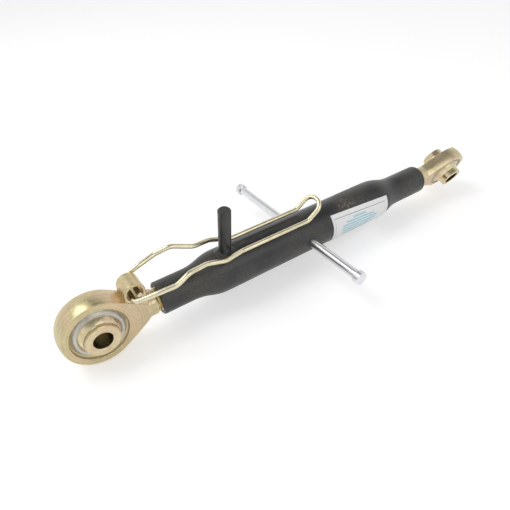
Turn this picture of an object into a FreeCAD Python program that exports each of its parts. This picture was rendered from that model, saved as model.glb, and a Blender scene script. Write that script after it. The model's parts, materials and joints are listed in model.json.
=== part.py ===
"""Turnbuckle top link for a tractor's three-point hitch.

A swaged tube carries a screw in each end. Each screw ends in a forged eye with a
swivel ball. Turning the tube with its sliding bar makes the link longer or shorter,
and a wire clip, hinged in a lug on the front eye, drops round a post on the tube and
stops it from turning by itself.

Frame: origin at the centre of the front ball's bore. +X runs along the link to the
rear eye, +Z is up and Y is the axis of the front ball. Millimetres.
"""
import FreeCAD, Part
import math
import os

V = FreeCAD.Vector
CENTRE = V(0, 0, 0)
AXIS_X = V(1, 0, 0)
AXIS_Y = V(0, 1, 0)
AXIS_Z = V(0, 0, 1)

# ---------------------------------------------------------------- driving sizes
# Link as it is set
LINK_LENGTH = 514.5         # front bore to rear bore
FRONT_MOUTH_X = 66.5        # front end of the tube
REAR_EYE_TWIST = 26.0       # degrees that the rear eye is turned about the link

# Tube, swaged from one length
TUBE_LENGTH = 392.0
BODY_D = 50.0
BODY_BORE = 40.0
NECK_D = 36.4
FRONT_NECK = 35.0           # length of the front neck
REAR_NECK = 47.5            # length of the rear neck
FLARE_LENGTH = 41.0
MOUTH_ROUND = 2.0
MOUTH_SINK = 2.2            # countersink at each mouth

# Screws: M27 x 3, right hand in front, left hand at the rear
THREAD_D = 27.0
THREAD_PLAY = 0.05          # radial running clearance of screw in tube
FRONT_SCREW_LENGTH = 138.0
REAR_SCREW_LENGTH = 130.0
SCREW_TIP = 2.5             # chamfer on the inner end
SPIGOT_D = 16.0             # the screw's root inside the eye's neck
SPIGOT_LENGTH = 12.0
WELD_GROOVE = 0.8           # width and depth of the groove behind the eye

# Ball and eye at the front
PIN_D = 19.3                # category 1 pin bore, both balls
BALL_WIDTH = 44.0           # across the hub faces, both balls
FRONT_BALL_D = 50.6
FRONT_HUB_D = 36.0
FRONT_EYE_D = 77.6          # over the rounded rim
FRONT_EYE_WIDTH = 24.0
FRONT_SEAT_D = 56.0
FRONT_NECK_D = 28.0
FRONT_NECK_REACH = 62.0     # bore to the end of the forged neck
FRONT_TAPER = 30.0          # half angle of the eye's taper, degrees

# Ball and eye at the rear
REAR_BALL_D = 40.0
REAR_HUB_D = 28.6
REAR_EYE_D = 61.0
REAR_EYE_WIDTH = 18.0
REAR_SEAT_D = 44.4
REAR_NECK_D = 27.6
REAR_NECK_REACH = 54.5
REAR_TAPER = 25.0

# Shared details of both ends
SEAT_PLAY = 0.05            # radial running clearance of ball in seat
SWAGE_DEPTH = 3.4           # annular swage groove in each eye face
SWAGE_WIDTH = 2.0           # how far the groove spreads outside the seat ring
SEAT_LIP = 2.6              # flat lip of the seat ring beside the ball
HUB_FILLET = 1.5
EDGE = 0.8                  # small machined chamfer

# Lug on the front eye and the opening that the clip's ends lie in
HINGE_X = 43.2
HINGE_Z = 29.2
LUG_WALL = 2.6              # lug round the opening
LUG_WIDTH = 23.0
LUG_PLAY = 0.42             # radial, from the wire's widest reach to the opening
LUG_ROUND = 1.5

# Stop post on the tube
POST_X = 149.5
POST_D = 14.0
POST_HEIGHT = 60.0          # above the tube's surface
POST_BEVEL = 1.6
POST_LEAN = 9.0             # degrees towards -Y, with the clip's plane
WELD_LEG = 5.0

# Sliding bar
BAR_X = 255.0
BAR_D = 11.0
BAR_PLAY = 0.3              # radial clearance in the tube's cross hole
BAR_LENGTH = 236.0
BAR_OFFSET = 13.5           # middle of the bar from the link's axis, along Y
KNOB_D = 15.2
KNOB_LENGTH = 9.0
KNOB_GRIP = 6.0             # how far the bar goes into each knob
KNOB_DOME = 1.6

# Locking clip, bent from one wire
WIRE_D = 5.3
CLIP_END_GAP = 7.0          # between the two ends in the lug, along X
CLIP_END_STEP = 2.4         # and along Z
CLIP_END_PAST = 3.0         # how far each end shows past the lug
CLIP_NEAR_GAP = 4.4         # near leg to the lug's face
CLIP_FAR_GAP = 2.8          # far leg to the lug's face
CLIP_SIDE_PLAY = 1.85       # leg to post, each side
CLIP_RIDE = 0.55            # leg above the tube's crown line
CLIP_BEND = 14.0            # bend radius along the legs
CLIP_END_BEND = 4.8         # bend radius at the two ends
CLIP_SHOULDER = 16.0        # hinge to each leg's first bend
CLIP_SHOULDER_RISE = 7.0    # this and each rise below is over the low part of the legs
CLIP_SPLAY = 3.5            # how far the hump's foot stands wider than the lug's exit
CLIP_HUMP = 53.0            # post back to the top of the hump
CLIP_HUMP_RISE = 15.6
CLIP_HUMP_RUN = 16.5        # foot of the hump to its top
CLIP_FOOT_RISE = 10.2
CLIP_WAIST = 30.0           # post back to the waist behind the hump
CLIP_WAIST_RISE = 8.7
CLIP_WAIST_SPREAD = 3.4     # each side, over the narrow part
CLIP_BOW = 9.0              # post back to the widest place beside its weld
CLIP_BOW_RISE = 4.6
CLIP_BOW_GAP = 3.45         # leg to the weld's edge, sideways
CLIP_STRAIGHT = 15.0        # post to the start of the straight, narrow part
CLIP_REACH = 106.0          # post to the start of the finger loop
LOOP_BEND = 7.0             # bend radius at the loop's root
LOOP_FLAT = 1.0             # straight middle of the loop's tip
LOOP_RISE = 42.0            # slope of the finger loop, degrees
LOOP_LENGTH = 25.0

# Label wrapped round the tube
LABEL_X = 288.0
LABEL_LENGTH = 93.0
LABEL_START = 47.0          # degrees from +Z towards -Y
LABEL_SPAN = 118.0
LABEL_THICK = 0.25
LABEL_GLUE = 0.05           # film of glue under it

# ---------------------------------------------------------------- derived places
BODY_R = BODY_D / 2
NECK_R = NECK_D / 2
THREAD_R = THREAD_D / 2
WIRE_R = WIRE_D / 2
LEAN = math.radians(POST_LEAN)
REAR_MOUTH_X = FRONT_MOUTH_X + TUBE_LENGTH
END_OFFSET = math.hypot(CLIP_END_GAP, CLIP_END_STEP) / 2
LUG_HOLE_R = END_OFFSET + WIRE_R / math.cos(LEAN) + LUG_WIDTH / 2 * math.tan(LEAN) + LUG_PLAY
LUG_R = LUG_HOLE_R + LUG_WALL


# ---------------------------------------------------------------- helpers
class Outline:
    """A closed flat outline of straight lines and arcs."""

    def __init__(self, start):
        self.first = start
        self.last = start
        self.edges = []

    def line(self, *points):
        """Straight edges through the points."""
        for point in points:
            if (point - self.last).Length > 1e-7:
                self.edges.append(Part.LineSegment(self.last, point).toShape())
            self.last = point
        return self

    def arc(self, middle, end):
        """An arc through middle to end."""
        self.edges.append(Part.Arc(self.last, middle, end).toShape())
        self.last = end
        return self

    def face(self):
        """Close the outline and fill it."""
        self.line(self.first)
        return Part.Face(Part.Wire(self.edges))


def on_x(x, radius):
    """Point of a profile that is turned about the X axis."""
    return V(x, 0, radius)


def on_y(radius, y):
    """Point of a profile that is turned about the Y axis."""
    return V(radius, y, 0)


def turned(outline, axis):
    """Solid of revolution about an axis through the origin."""
    return outline.face().revolve(CENTRE, axis, 360)


def rod(radius, length, start, direction):
    return Part.makeCylinder(radius, length, start, direction)


def leaned(lateral, up, x):
    """Point in the leaning plane of post and clip: lateral across it, up in it."""
    y = lateral * math.cos(LEAN) - up * math.sin(LEAN)
    z = lateral * math.sin(LEAN) + up * math.cos(LEAN)
    return V(x, y, z)


def flare(outline, start, end):
    """Add a smooth S of two equal arcs from start to end, both level with X."""
    middle = (start + end) * 0.5
    sag = (end.z - start.z) / 8
    quarter = start + (middle - start) * 0.5
    three = middle + (end - middle) * 0.5
    run = (end.x - start.x) / 4
    radius = (4 * run * run + (sag * 4) ** 2) / (8 * abs(sag)) if sag else 0
    bow = radius - math.sqrt(radius ** 2 - ((middle - start).Length / 2) ** 2)
    across = V(-(middle - start).z, 0, (middle - start).x).normalize()
    side = -1 if (end.z > start.z) == (end.x > start.x) else 1
    outline.arc(quarter + across * bow * side, middle)
    outline.arc(three - across * bow * side, end)


def bent_wire(points, radii, radius):
    """Round wire along straight runs joined by tangent arcs."""
    edges = []
    last = points[0]
    for before, corner, after, bend in zip(points, points[1:], points[2:], radii):
        into = (corner - before).normalize()
        out = (after - corner).normalize()
        turn = into.getAngle(out)
        cut = bend * math.tan(turn / 2)
        start = corner - into * cut
        end = corner + out * cut
        inward = (out - into).normalize()
        middle = corner + inward * (bend / math.cos(turn / 2) - bend)
        if (start - last).Length > 1e-6:
            edges.append(Part.LineSegment(last, start).toShape())
        edges.append(Part.Arc(start, middle, end).toShape())
        last = end
    edges.append(Part.LineSegment(last, points[-1]).toShape())
    path = Part.Wire(edges)
    section = Part.Wire(Part.Circle(points[0], points[1] - points[0], radius).toShape())
    wire = path.makePipeShell([section], True, False)
    expected = math.pi * radius ** 2 * path.Length
    print("wire volume", round(wire.Volume / expected, 4), "of section times length")
    return wire


# ---------------------------------------------------------------- ball ends
class BallEnd:
    """One swivel end. Built with its ball at the origin and its neck along +X."""

    def __init__(self, ball_d, hub_d, eye_d, width, seat_d, neck_d, reach, taper):
        self.ball_r = ball_d / 2
        self.hub_r = hub_d / 2
        self.eye_r = eye_d / 2
        self.half = width / 2
        self.seat_r = seat_d / 2
        self.neck_r = neck_d / 2
        self.reach = reach
        self.taper = math.radians(taper)

    def ball(self):
        """Drilled ball with a short hub on each side."""
        centre_r = self.hub_r + HUB_FILLET
        reach = self.ball_r + HUB_FILLET
        root_y = math.sqrt(reach ** 2 - centre_r ** 2)
        shrink = self.ball_r / reach
        away = math.hypot(1 + centre_r / reach, root_y / reach)
        mid_r = centre_r - HUB_FILLET * (1 + centre_r / reach) / away
        mid_y = root_y - HUB_FILLET * (root_y / reach) / away
        face = BALL_WIDTH / 2
        pin_r = PIN_D / 2
        shape = Outline(on_y(pin_r, -face + EDGE))
        shape.line(on_y(pin_r, face - EDGE), on_y(pin_r + EDGE, face))
        shape.line(on_y(self.hub_r - EDGE, face), on_y(self.hub_r, face - EDGE))
        shape.line(on_y(self.hub_r, root_y))
        shape.arc(on_y(mid_r, mid_y), on_y(centre_r * shrink, root_y * shrink))
        shape.arc(on_y(self.ball_r, 0), on_y(centre_r * shrink, -root_y * shrink))
        shape.arc(on_y(mid_r, -mid_y), on_y(self.hub_r, -root_y))
        shape.line(on_y(self.hub_r, -face + EDGE), on_y(self.hub_r - EDGE, -face))
        shape.line(on_y(pin_r + EDGE, -face))
        return turned(shape, AXIS_Y)

    def seat(self, side):
        """Half of the split seat ring, on the side of +Y (1) or -Y (-1)."""
        inner = self.ball_r + SEAT_PLAY
        lip_r = math.sqrt(inner ** 2 - self.half ** 2)
        angle = math.atan2(self.half, lip_r) / 2
        floor = self.half - SWAGE_DEPTH
        shape = Outline(on_y(inner, 0))
        shape.arc(on_y(inner * math.cos(angle), side * inner * math.sin(angle)),
                  on_y(lip_r, side * self.half))
        shape.line(on_y(lip_r + SEAT_LIP, side * self.half))
        shape.line(on_y(self.seat_r - EDGE, side * (floor + EDGE)))
        shape.line(on_y(self.seat_r, side * floor), on_y(self.seat_r, 0))
        return turned(shape, AXIS_Y)

    def seat_bore(self):
        """What the seat ring and its swage grooves take out of the eye."""
        floor = self.half - SWAGE_DEPTH
        mouth_r = self.seat_r + SWAGE_WIDTH
        bulge_r = self.seat_r + SWAGE_WIDTH * 0.75
        bulge_y = floor + SWAGE_DEPTH * 0.35
        past = self.half + 1
        shape = Outline(on_y(0, -past))
        shape.line(on_y(mouth_r, -past), on_y(mouth_r, -self.half))
        shape.arc(on_y(bulge_r, -bulge_y), on_y(self.seat_r, -floor))
        shape.line(on_y(self.seat_r, floor))
        shape.arc(on_y(bulge_r, bulge_y), on_y(mouth_r, self.half))
        shape.line(on_y(mouth_r, past), on_y(0, past))
        return turned(shape, AXIS_Y)

    def eye(self):
        """Ball-shaped rim that runs out into a cone and a round neck, flattened on both sides."""
        rim = (math.pi + math.pi / 2 - self.taper) / 2
        tangent = on_x(self.eye_r * math.sin(self.taper), self.eye_r * math.cos(self.taper))
        neck_x = tangent.x + (tangent.z - self.neck_r) / math.tan(self.taper)
        shape = Outline(on_x(-self.eye_r, 0))
        shape.arc(on_x(self.eye_r * math.cos(rim), self.eye_r * math.sin(rim)), tangent)
        shape.line(on_x(neck_x, self.neck_r), on_x(self.reach - EDGE, self.neck_r))
        shape.line(on_x(self.reach, self.neck_r - EDGE), on_x(self.reach, SPIGOT_D / 2))
        shape.line(on_x(self.reach - SPIGOT_LENGTH, SPIGOT_D / 2))
        shape.line(on_x(self.reach - SPIGOT_LENGTH, 0))
        width = 2 * self.half
        slab = Part.makeBox(4 * self.reach, width, 4 * self.reach,
                            V(-2 * self.reach, -self.half, -2 * self.reach))
        return turned(shape, AXIS_X).common(slab)

    def screw(self, length):
        """Threaded rod whose spigot is welded into the eye's neck."""
        root_r = THREAD_R - WELD_GROOVE
        tip = self.reach + length
        shape = Outline(on_x(self.reach - SPIGOT_LENGTH, 0))
        shape.line(on_x(self.reach - SPIGOT_LENGTH, SPIGOT_D / 2), on_x(self.reach, SPIGOT_D / 2))
        shape.line(on_x(self.reach, root_r), on_x(self.reach + WELD_GROOVE, root_r))
        shape.line(on_x(self.reach + WELD_GROOVE, THREAD_R), on_x(tip - SCREW_TIP, THREAD_R))
        shape.line(on_x(tip, THREAD_R - SCREW_TIP), on_x(tip, 0))
        return turned(shape, AXIS_X)


def clip_lug():
    """Round-topped lug that stands on the taper of the front eye."""
    half = LUG_WIDTH / 2
    foot = V(HINGE_X, -half, HINGE_Z / 3)
    top = V(HINGE_X, -half, HINGE_Z)
    side = V(LUG_R, 0, 0)
    shape = Outline(foot - side)
    shape.line(top - side)
    shape.arc(top + V(0, 0, LUG_R), top + side)
    shape.line(foot + side)
    lug = shape.face().extrude(V(0, LUG_WIDTH, 0))
    rims = [edge for edge in lug.Edges
            if abs(abs(edge.CenterOfMass.y) - half) < 1e-6 and edge.CenterOfMass.z > foot.z + 1]
    return lug.makeFillet(LUG_ROUND, rims)


def front_eye(end):
    """Forged front eye with its lug, bored for the seat ring and the clip."""
    hole = rod(LUG_HOLE_R, 2 * LUG_WIDTH, V(HINGE_X, -LUG_WIDTH, HINGE_Z), AXIS_Y)
    return end.eye().fuse(clip_lug()).cut(hole).cut(end.seat_bore())


def rear_eye(end):
    """Forged rear eye, bored for its seat ring."""
    return end.eye().cut(end.seat_bore())


def to_rear(shape):
    """Turn an end round to face the rear, twist it and move it to its place."""
    placed = shape.copy()
    placed.rotate(CENTRE, AXIS_Z, 180)
    placed.rotate(CENTRE, AXIS_X, REAR_EYE_TWIST)
    placed.translate(V(LINK_LENGTH, 0, 0))
    return placed


# ---------------------------------------------------------------- tube and what is on it
def tube_blank():
    """Outer form of the tube, without its bore."""
    mouth = FRONT_MOUTH_X
    end = REAR_MOUTH_X
    corner = MOUTH_ROUND * (1 - math.sqrt(0.5))
    shape = Outline(on_x(mouth, 0))
    shape.line(on_x(mouth, NECK_R - MOUTH_ROUND))
    shape.arc(on_x(mouth + corner, NECK_R - corner), on_x(mouth + MOUTH_ROUND, NECK_R))
    shape.line(on_x(mouth + FRONT_NECK, NECK_R))
    flare(shape, on_x(mouth + FRONT_NECK, NECK_R),
          on_x(mouth + FRONT_NECK + FLARE_LENGTH, BODY_R))
    shape.line(on_x(end - REAR_NECK - FLARE_LENGTH, BODY_R))
    flare(shape, on_x(end - REAR_NECK - FLARE_LENGTH, BODY_R), on_x(end - REAR_NECK, NECK_R))
    shape.line(on_x(end - MOUTH_ROUND, NECK_R))
    shape.arc(on_x(end - corner, NECK_R - corner), on_x(end, NECK_R - MOUTH_ROUND))
    shape.line(on_x(end, 0))
    return turned(shape, AXIS_X)


def tube_bore():
    """Threaded necks, countersunk mouths and the wider bore between them."""
    mouth = FRONT_MOUTH_X
    end = REAR_MOUTH_X
    thread_r = THREAD_R + THREAD_PLAY
    shape = Outline(on_x(mouth - 1, 0))
    shape.line(on_x(mouth - 1, thread_r + MOUTH_SINK), on_x(mouth, thread_r + MOUTH_SINK))
    shape.line(on_x(mouth + MOUTH_SINK, thread_r), on_x(mouth + FRONT_NECK, thread_r))
    flare(shape, on_x(mouth + FRONT_NECK, thread_r),
          on_x(mouth + FRONT_NECK + FLARE_LENGTH, BODY_BORE / 2))
    shape.line(on_x(end - REAR_NECK - FLARE_LENGTH, BODY_BORE / 2))
    flare(shape, on_x(end - REAR_NECK - FLARE_LENGTH, BODY_BORE / 2),
          on_x(end - REAR_NECK, thread_r))
    shape.line(on_x(end - MOUTH_SINK, thread_r), on_x(end, thread_r + MOUTH_SINK))
    shape.line(on_x(end + 1, thread_r + MOUTH_SINK), on_x(end + 1, 0))
    return turned(shape, AXIS_X)


def tube(blank):
    """Swaged tube with its bore and the cross hole for the bar."""
    hole = rod(BAR_D / 2 + BAR_PLAY, 2 * BODY_D, V(BAR_X, -BODY_D, 0), AXIS_Y)
    return blank.cut(tube_bore()).cut(hole)


def stood_on_tube(shape):
    """Turn a solid made about Z so that it stands on the tube at the post's place."""
    placed = shape.copy()
    placed.rotate(CENTRE, AXIS_X, POST_LEAN)
    placed.translate(V(POST_X, 0, 0))
    return placed


def stop_post(blank):
    """Bevelled round post, its foot shaped to the tube."""
    top = BODY_R + POST_HEIGHT
    radius = POST_D / 2
    shape = Outline(V(0, 0, NECK_R))
    shape.line(V(radius, 0, NECK_R), V(radius, 0, top - POST_BEVEL))
    shape.line(V(radius - POST_BEVEL, 0, top), V(0, 0, top))
    return stood_on_tube(turned(shape, AXIS_Z)).cut(blank)


def post_weld(blank):
    """Hollow fillet weld all round the post's foot."""
    inner = POST_D / 2
    outer = inner + WELD_LEG
    drop = BODY_R - math.sqrt(BODY_R ** 2 - outer ** 2)
    foot = BODY_R - drop
    hollow = 0.38
    shape = Outline(V(inner, 0, foot - WELD_LEG))
    shape.line(V(outer, 0, foot - WELD_LEG), V(outer, 0, foot + EDGE / 2))
    shape.arc(V(inner + WELD_LEG * hollow, 0, foot + (WELD_LEG + drop) * hollow),
              V(inner, 0, BODY_R + WELD_LEG))
    return stood_on_tube(turned(shape, AXIS_Z)).cut(blank)


def label():
    """Sticker wrapped round part of the tube."""
    inner = BODY_R + LABEL_GLUE
    outer = inner + LABEL_THICK
    shape = Outline(on_x(LABEL_X, inner))
    shape.line(on_x(LABEL_X, outer), on_x(LABEL_X + LABEL_LENGTH, outer))
    shape.line(on_x(LABEL_X + LABEL_LENGTH, inner))
    face = shape.face()
    face.rotate(CENTRE, AXIS_X, LABEL_START)
    return face.revolve(CENTRE, AXIS_X, LABEL_SPAN)


# ---------------------------------------------------------------- sliding bar
def bar():
    """Plain round rod through the tube."""
    start = V(BAR_X, BAR_OFFSET - BAR_LENGTH / 2, 0)
    return rod(BAR_D / 2, BAR_LENGTH, start, AXIS_Y)


def knob(side):
    """Domed stop pressed on one end of the bar; side is -1 near, 1 far."""
    radius = KNOB_D / 2
    shape = Outline(on_y(BAR_D / 2, 0))
    shape.line(on_y(radius - EDGE, 0), on_y(radius, EDGE))
    shape.line(on_y(radius, KNOB_LENGTH - KNOB_DOME))
    dome_r = (radius ** 2 + KNOB_DOME ** 2) / (2 * KNOB_DOME)
    half = math.asin(radius / dome_r) / 2
    centre_y = KNOB_LENGTH - dome_r
    shape.arc(on_y(dome_r * math.sin(half), centre_y + dome_r * math.cos(half)),
              on_y(0, KNOB_LENGTH))
    shape.line(on_y(0, KNOB_GRIP), on_y(BAR_D / 2, KNOB_GRIP))
    cap = turned(shape, AXIS_Y)
    if side < 0:
        cap.rotate(CENTRE, AXIS_X, 180)
    inner_end = BAR_OFFSET + side * (BAR_LENGTH / 2 - KNOB_GRIP)
    cap.translate(V(BAR_X, inner_end, 0))
    return cap


# ---------------------------------------------------------------- locking clip
def clip():
    """Sprung wire: two ends in the lug, two shaped legs and a raised finger loop."""
    hinge_up = HINGE_Z * math.cos(LEAN)
    hinge_side = HINGE_Z * math.sin(LEAN)
    end_side = LUG_WIDTH / 2 + CLIP_END_PAST
    near_exit = LUG_WIDTH / 2 - hinge_side + WIRE_R + CLIP_NEAR_GAP
    far_exit = LUG_WIDTH / 2 + hinge_side + WIRE_R + CLIP_FAR_GAP
    narrow = POST_D / 2 + WIRE_R + CLIP_SIDE_PLAY
    low = BODY_R + WIRE_R + CLIP_RIDE
    bow = POST_D / 2 + WELD_LEG + WIRE_R + CLIP_BOW_GAP
    foot_x = POST_X - CLIP_HUMP - CLIP_HUMP_RUN
    # along the leg: place along X, half spread, height over the link's axis
    legs = [
        (HINGE_X + CLIP_SHOULDER, far_exit, low + CLIP_SHOULDER_RISE),
        (foot_x, far_exit + CLIP_SPLAY, low + CLIP_FOOT_RISE),
        (POST_X - CLIP_HUMP, far_exit, low + CLIP_HUMP_RISE),
        (POST_X - CLIP_WAIST, narrow + CLIP_WAIST_SPREAD, low + CLIP_WAIST_RISE),
        (POST_X - CLIP_BOW, bow, low + CLIP_BOW_RISE),
        (POST_X + CLIP_STRAIGHT, narrow, low),
        (POST_X + CLIP_REACH, narrow, low),
    ]
    rise = math.radians(LOOP_RISE)
    loop_x = POST_X + CLIP_REACH + LOOP_LENGTH * math.cos(rise)
    loop_up = low + LOOP_LENGTH * math.sin(rise)
    near_x = HINGE_X - CLIP_END_GAP / 2
    far_x = HINGE_X + CLIP_END_GAP / 2
    near_up = hinge_up - CLIP_END_STEP / 2
    far_up = hinge_up + CLIP_END_STEP / 2
    points = [leaned(hinge_side + end_side, near_up, near_x)]
    points.append(leaned(-near_exit, near_up, near_x))
    points += [leaned(-side, up, x) for x, side, up in legs]
    points += [leaned(-narrow, loop_up, loop_x), leaned(narrow, loop_up, loop_x)]
    points += [leaned(side, up, x) for x, side, up in reversed(legs)]
    points.append(leaned(far_exit, far_up, far_x))
    points.append(leaned(hinge_side - end_side, far_up, far_x))
    leg_bends = [CLIP_BEND] * (len(legs) - 1)
    tip_bend = narrow - LOOP_FLAT / 2
    radii = [CLIP_END_BEND] + leg_bends + [LOOP_BEND, tip_bend]
    radii += radii[::-1]
    return bent_wire(points, radii, WIRE_R)


# ---------------------------------------------------------------- build
def build():
    """All pieces of the link by node name."""
    front = BallEnd(FRONT_BALL_D, FRONT_HUB_D, FRONT_EYE_D, FRONT_EYE_WIDTH,
                    FRONT_SEAT_D, FRONT_NECK_D, FRONT_NECK_REACH, FRONT_TAPER)
    rear = BallEnd(REAR_BALL_D, REAR_HUB_D, REAR_EYE_D, REAR_EYE_WIDTH,
                   REAR_SEAT_D, REAR_NECK_D, REAR_NECK_REACH, REAR_TAPER)
    blank = tube_blank()
    return {
        "tube": tube(blank),
        "stop_post": stop_post(blank),
        "post_weld": post_weld(blank),
        "label": label(),
        "front_eye": front_eye(front),
        "front_screw": front.screw(FRONT_SCREW_LENGTH),
        "front_seat_near": front.seat(-1),
        "front_seat_far": front.seat(1),
        "front_ball": front.ball(),
        "rear_eye": to_rear(rear_eye(rear)),
        "rear_screw": to_rear(rear.screw(REAR_SCREW_LENGTH)),
        "rear_seat_near": to_rear(rear.seat(-1)),
        "rear_seat_far": to_rear(rear.seat(1)),
        "rear_ball": to_rear(rear.ball()),
        "tommy_bar": bar(),
        "bar_knob_near": knob(-1),
        "bar_knob_far": knob(1),
        "lock_clip": clip(),
    }


def main():
    """Write one STEP file per piece."""
    os.makedirs("parts", exist_ok=True)
    for name, shape in build().items():
        solids = shape.Solids
        print(name, "solids", len(solids), "valid", shape.isValid(), "volume", round(shape.Volume))
        solid = solids[0] if len(solids) == 1 else shape
        solid.exportStep("parts/" + name + ".step")


main()
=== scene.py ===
"""Looks of a turnbuckle top link for a tractor's three-point hitch.

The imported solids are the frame: the forged eyes, balls, tube, post, bar and clip keep
their shape and get their finishes here. The threads, the rippled weld and the printed
label are built in this file, in metres and in the same frame. The origin is the centre
of the front ball's bore, +X runs along the link to the rear eye and +Z is up.
"""
import json
import logging
import math
from dataclasses import dataclass
from enum import Enum
from typing import Optional, Sequence

import bmesh
import bpy
from mathutils import Matrix, Vector


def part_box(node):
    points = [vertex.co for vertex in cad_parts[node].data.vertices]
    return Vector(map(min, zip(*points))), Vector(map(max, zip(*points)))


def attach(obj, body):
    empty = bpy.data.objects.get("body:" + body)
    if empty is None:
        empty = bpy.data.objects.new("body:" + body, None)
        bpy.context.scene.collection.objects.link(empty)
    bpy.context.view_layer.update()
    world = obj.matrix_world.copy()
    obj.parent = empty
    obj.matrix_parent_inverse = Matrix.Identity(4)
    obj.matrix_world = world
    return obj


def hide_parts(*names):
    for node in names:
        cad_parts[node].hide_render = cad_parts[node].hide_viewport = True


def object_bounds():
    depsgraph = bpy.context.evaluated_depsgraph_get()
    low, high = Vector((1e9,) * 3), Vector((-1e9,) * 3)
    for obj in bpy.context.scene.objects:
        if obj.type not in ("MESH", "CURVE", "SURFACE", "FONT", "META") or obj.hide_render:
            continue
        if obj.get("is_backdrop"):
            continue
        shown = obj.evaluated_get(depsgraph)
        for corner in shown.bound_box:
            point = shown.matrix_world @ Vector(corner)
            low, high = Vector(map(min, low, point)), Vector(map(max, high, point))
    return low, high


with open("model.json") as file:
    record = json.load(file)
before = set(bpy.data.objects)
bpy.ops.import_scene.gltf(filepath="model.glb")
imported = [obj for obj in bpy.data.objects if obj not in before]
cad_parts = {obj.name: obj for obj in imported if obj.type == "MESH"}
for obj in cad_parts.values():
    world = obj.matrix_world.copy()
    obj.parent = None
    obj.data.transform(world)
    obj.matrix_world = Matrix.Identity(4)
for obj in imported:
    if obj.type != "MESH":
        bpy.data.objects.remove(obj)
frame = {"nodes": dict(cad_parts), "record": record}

MM = 0.001
LOG = logging.getLogger("top_link")

Colour = tuple[float, float, float]


class Hand(Enum):
    """Which way a thread winds."""

    RIGHT = 1
    LEFT = -1


class Lay(Enum):
    """Which way the tool or die marks of a finish run."""

    ALONG_LINK = "along"
    AROUND_BORE = "around"
    NONE = "none"


# ---------------------------------------------------------------- node helpers
class NodeSheet:
    """Short way to add and join nodes in one node tree."""

    def __init__(self, tree: bpy.types.NodeTree) -> None:
        """Wrap a tree.

        Args:
            tree: Shader or geometry node tree that gets the nodes.
        """
        self.tree = tree

    def add(self, kind: str, **settings: object) -> bpy.types.Node:
        """Add a node and set its properties.

        Args:
            kind: Type name of the node.
            settings: Properties of the node by name.

        Returns:
            The new node.
        """
        node = self.tree.nodes.new(kind)
        for name, value in settings.items():
            setattr(node, name, value)
        return node

    def join(self, source: object, target: object) -> None:
        """Link an output socket to an input socket, or set the input to a value."""
        if isinstance(source, bpy.types.NodeSocket):
            self.tree.links.new(source, target)
        else:
            target.default_value = source

    def maths(self, operation: str, *values: object) -> bpy.types.NodeSocket:
        """Add a Math node.

        Args:
            operation: Name of the operation.
            values: Sockets or numbers for its inputs, in order.

        Returns:
            Its output socket.
        """
        kind = "ShaderNodeMath"
        node = self.add(kind, operation=operation)
        for value, target in zip(values, node.inputs):
            self.join(value, target)
        return node.outputs[0]

    def smooth(self, value: object, low: float, high: float, start: float = 0.0,
               end: float = 1.0) -> bpy.types.NodeSocket:
        """Map a value smoothly from low..high to start..end.

        Args:
            value: Socket or number to map.
            low: Value that maps to start.
            high: Value that maps to end.
            start: Result at low.
            end: Result at high.

        Returns:
            Output socket of the Map Range node.
        """
        node = self.add("ShaderNodeMapRange", interpolation_type="SMOOTHSTEP")
        self.join(value, node.inputs["Value"])
        self.join(low, node.inputs["From Min"])
        self.join(high, node.inputs["From Max"])
        self.join(start, node.inputs["To Min"])
        self.join(end, node.inputs["To Max"])
        return node.outputs["Result"]

    def blend(self, share: object, first: object, second: object) -> bpy.types.NodeSocket:
        """Mix two colours.

        Args:
            share: Socket or number, 0 for first and 1 for second.
            first: Socket or colour.
            second: Socket or colour.

        Returns:
            The mixed colour's socket.
        """
        node = self.add("ShaderNodeMix", data_type="RGBA")
        self.join(share, node.inputs[0])
        self.join(with_alpha(first), node.inputs[6])
        self.join(with_alpha(second), node.inputs[7])
        return node.outputs[2]


def with_alpha(value: object) -> object:
    """Give a plain colour its fourth number, and leave a socket alone."""
    if isinstance(value, bpy.types.NodeSocket):
        return value
    return (*value, 1.0)


def new_group(name: str, inputs: Sequence[tuple[str, str, object]],
              outputs: Sequence[tuple[str, str]]) -> tuple[bpy.types.NodeTree, NodeSheet]:
    """Start a shader node group with named sockets.

    Args:
        name: Name of the group.
        inputs: Name, socket type and default of each input.
        outputs: Name and socket type of each output.

    Returns:
        The group and a sheet to build it with.
    """
    group = bpy.data.node_groups.new(name, "ShaderNodeTree")
    for label, kind, default in inputs:
        socket = group.interface.new_socket(name=label, in_out="INPUT", socket_type=kind)
        socket.default_value = default
    for label, kind in outputs:
        group.interface.new_socket(name=label, in_out="OUTPUT", socket_type=kind)
    return group, NodeSheet(group)


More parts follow.
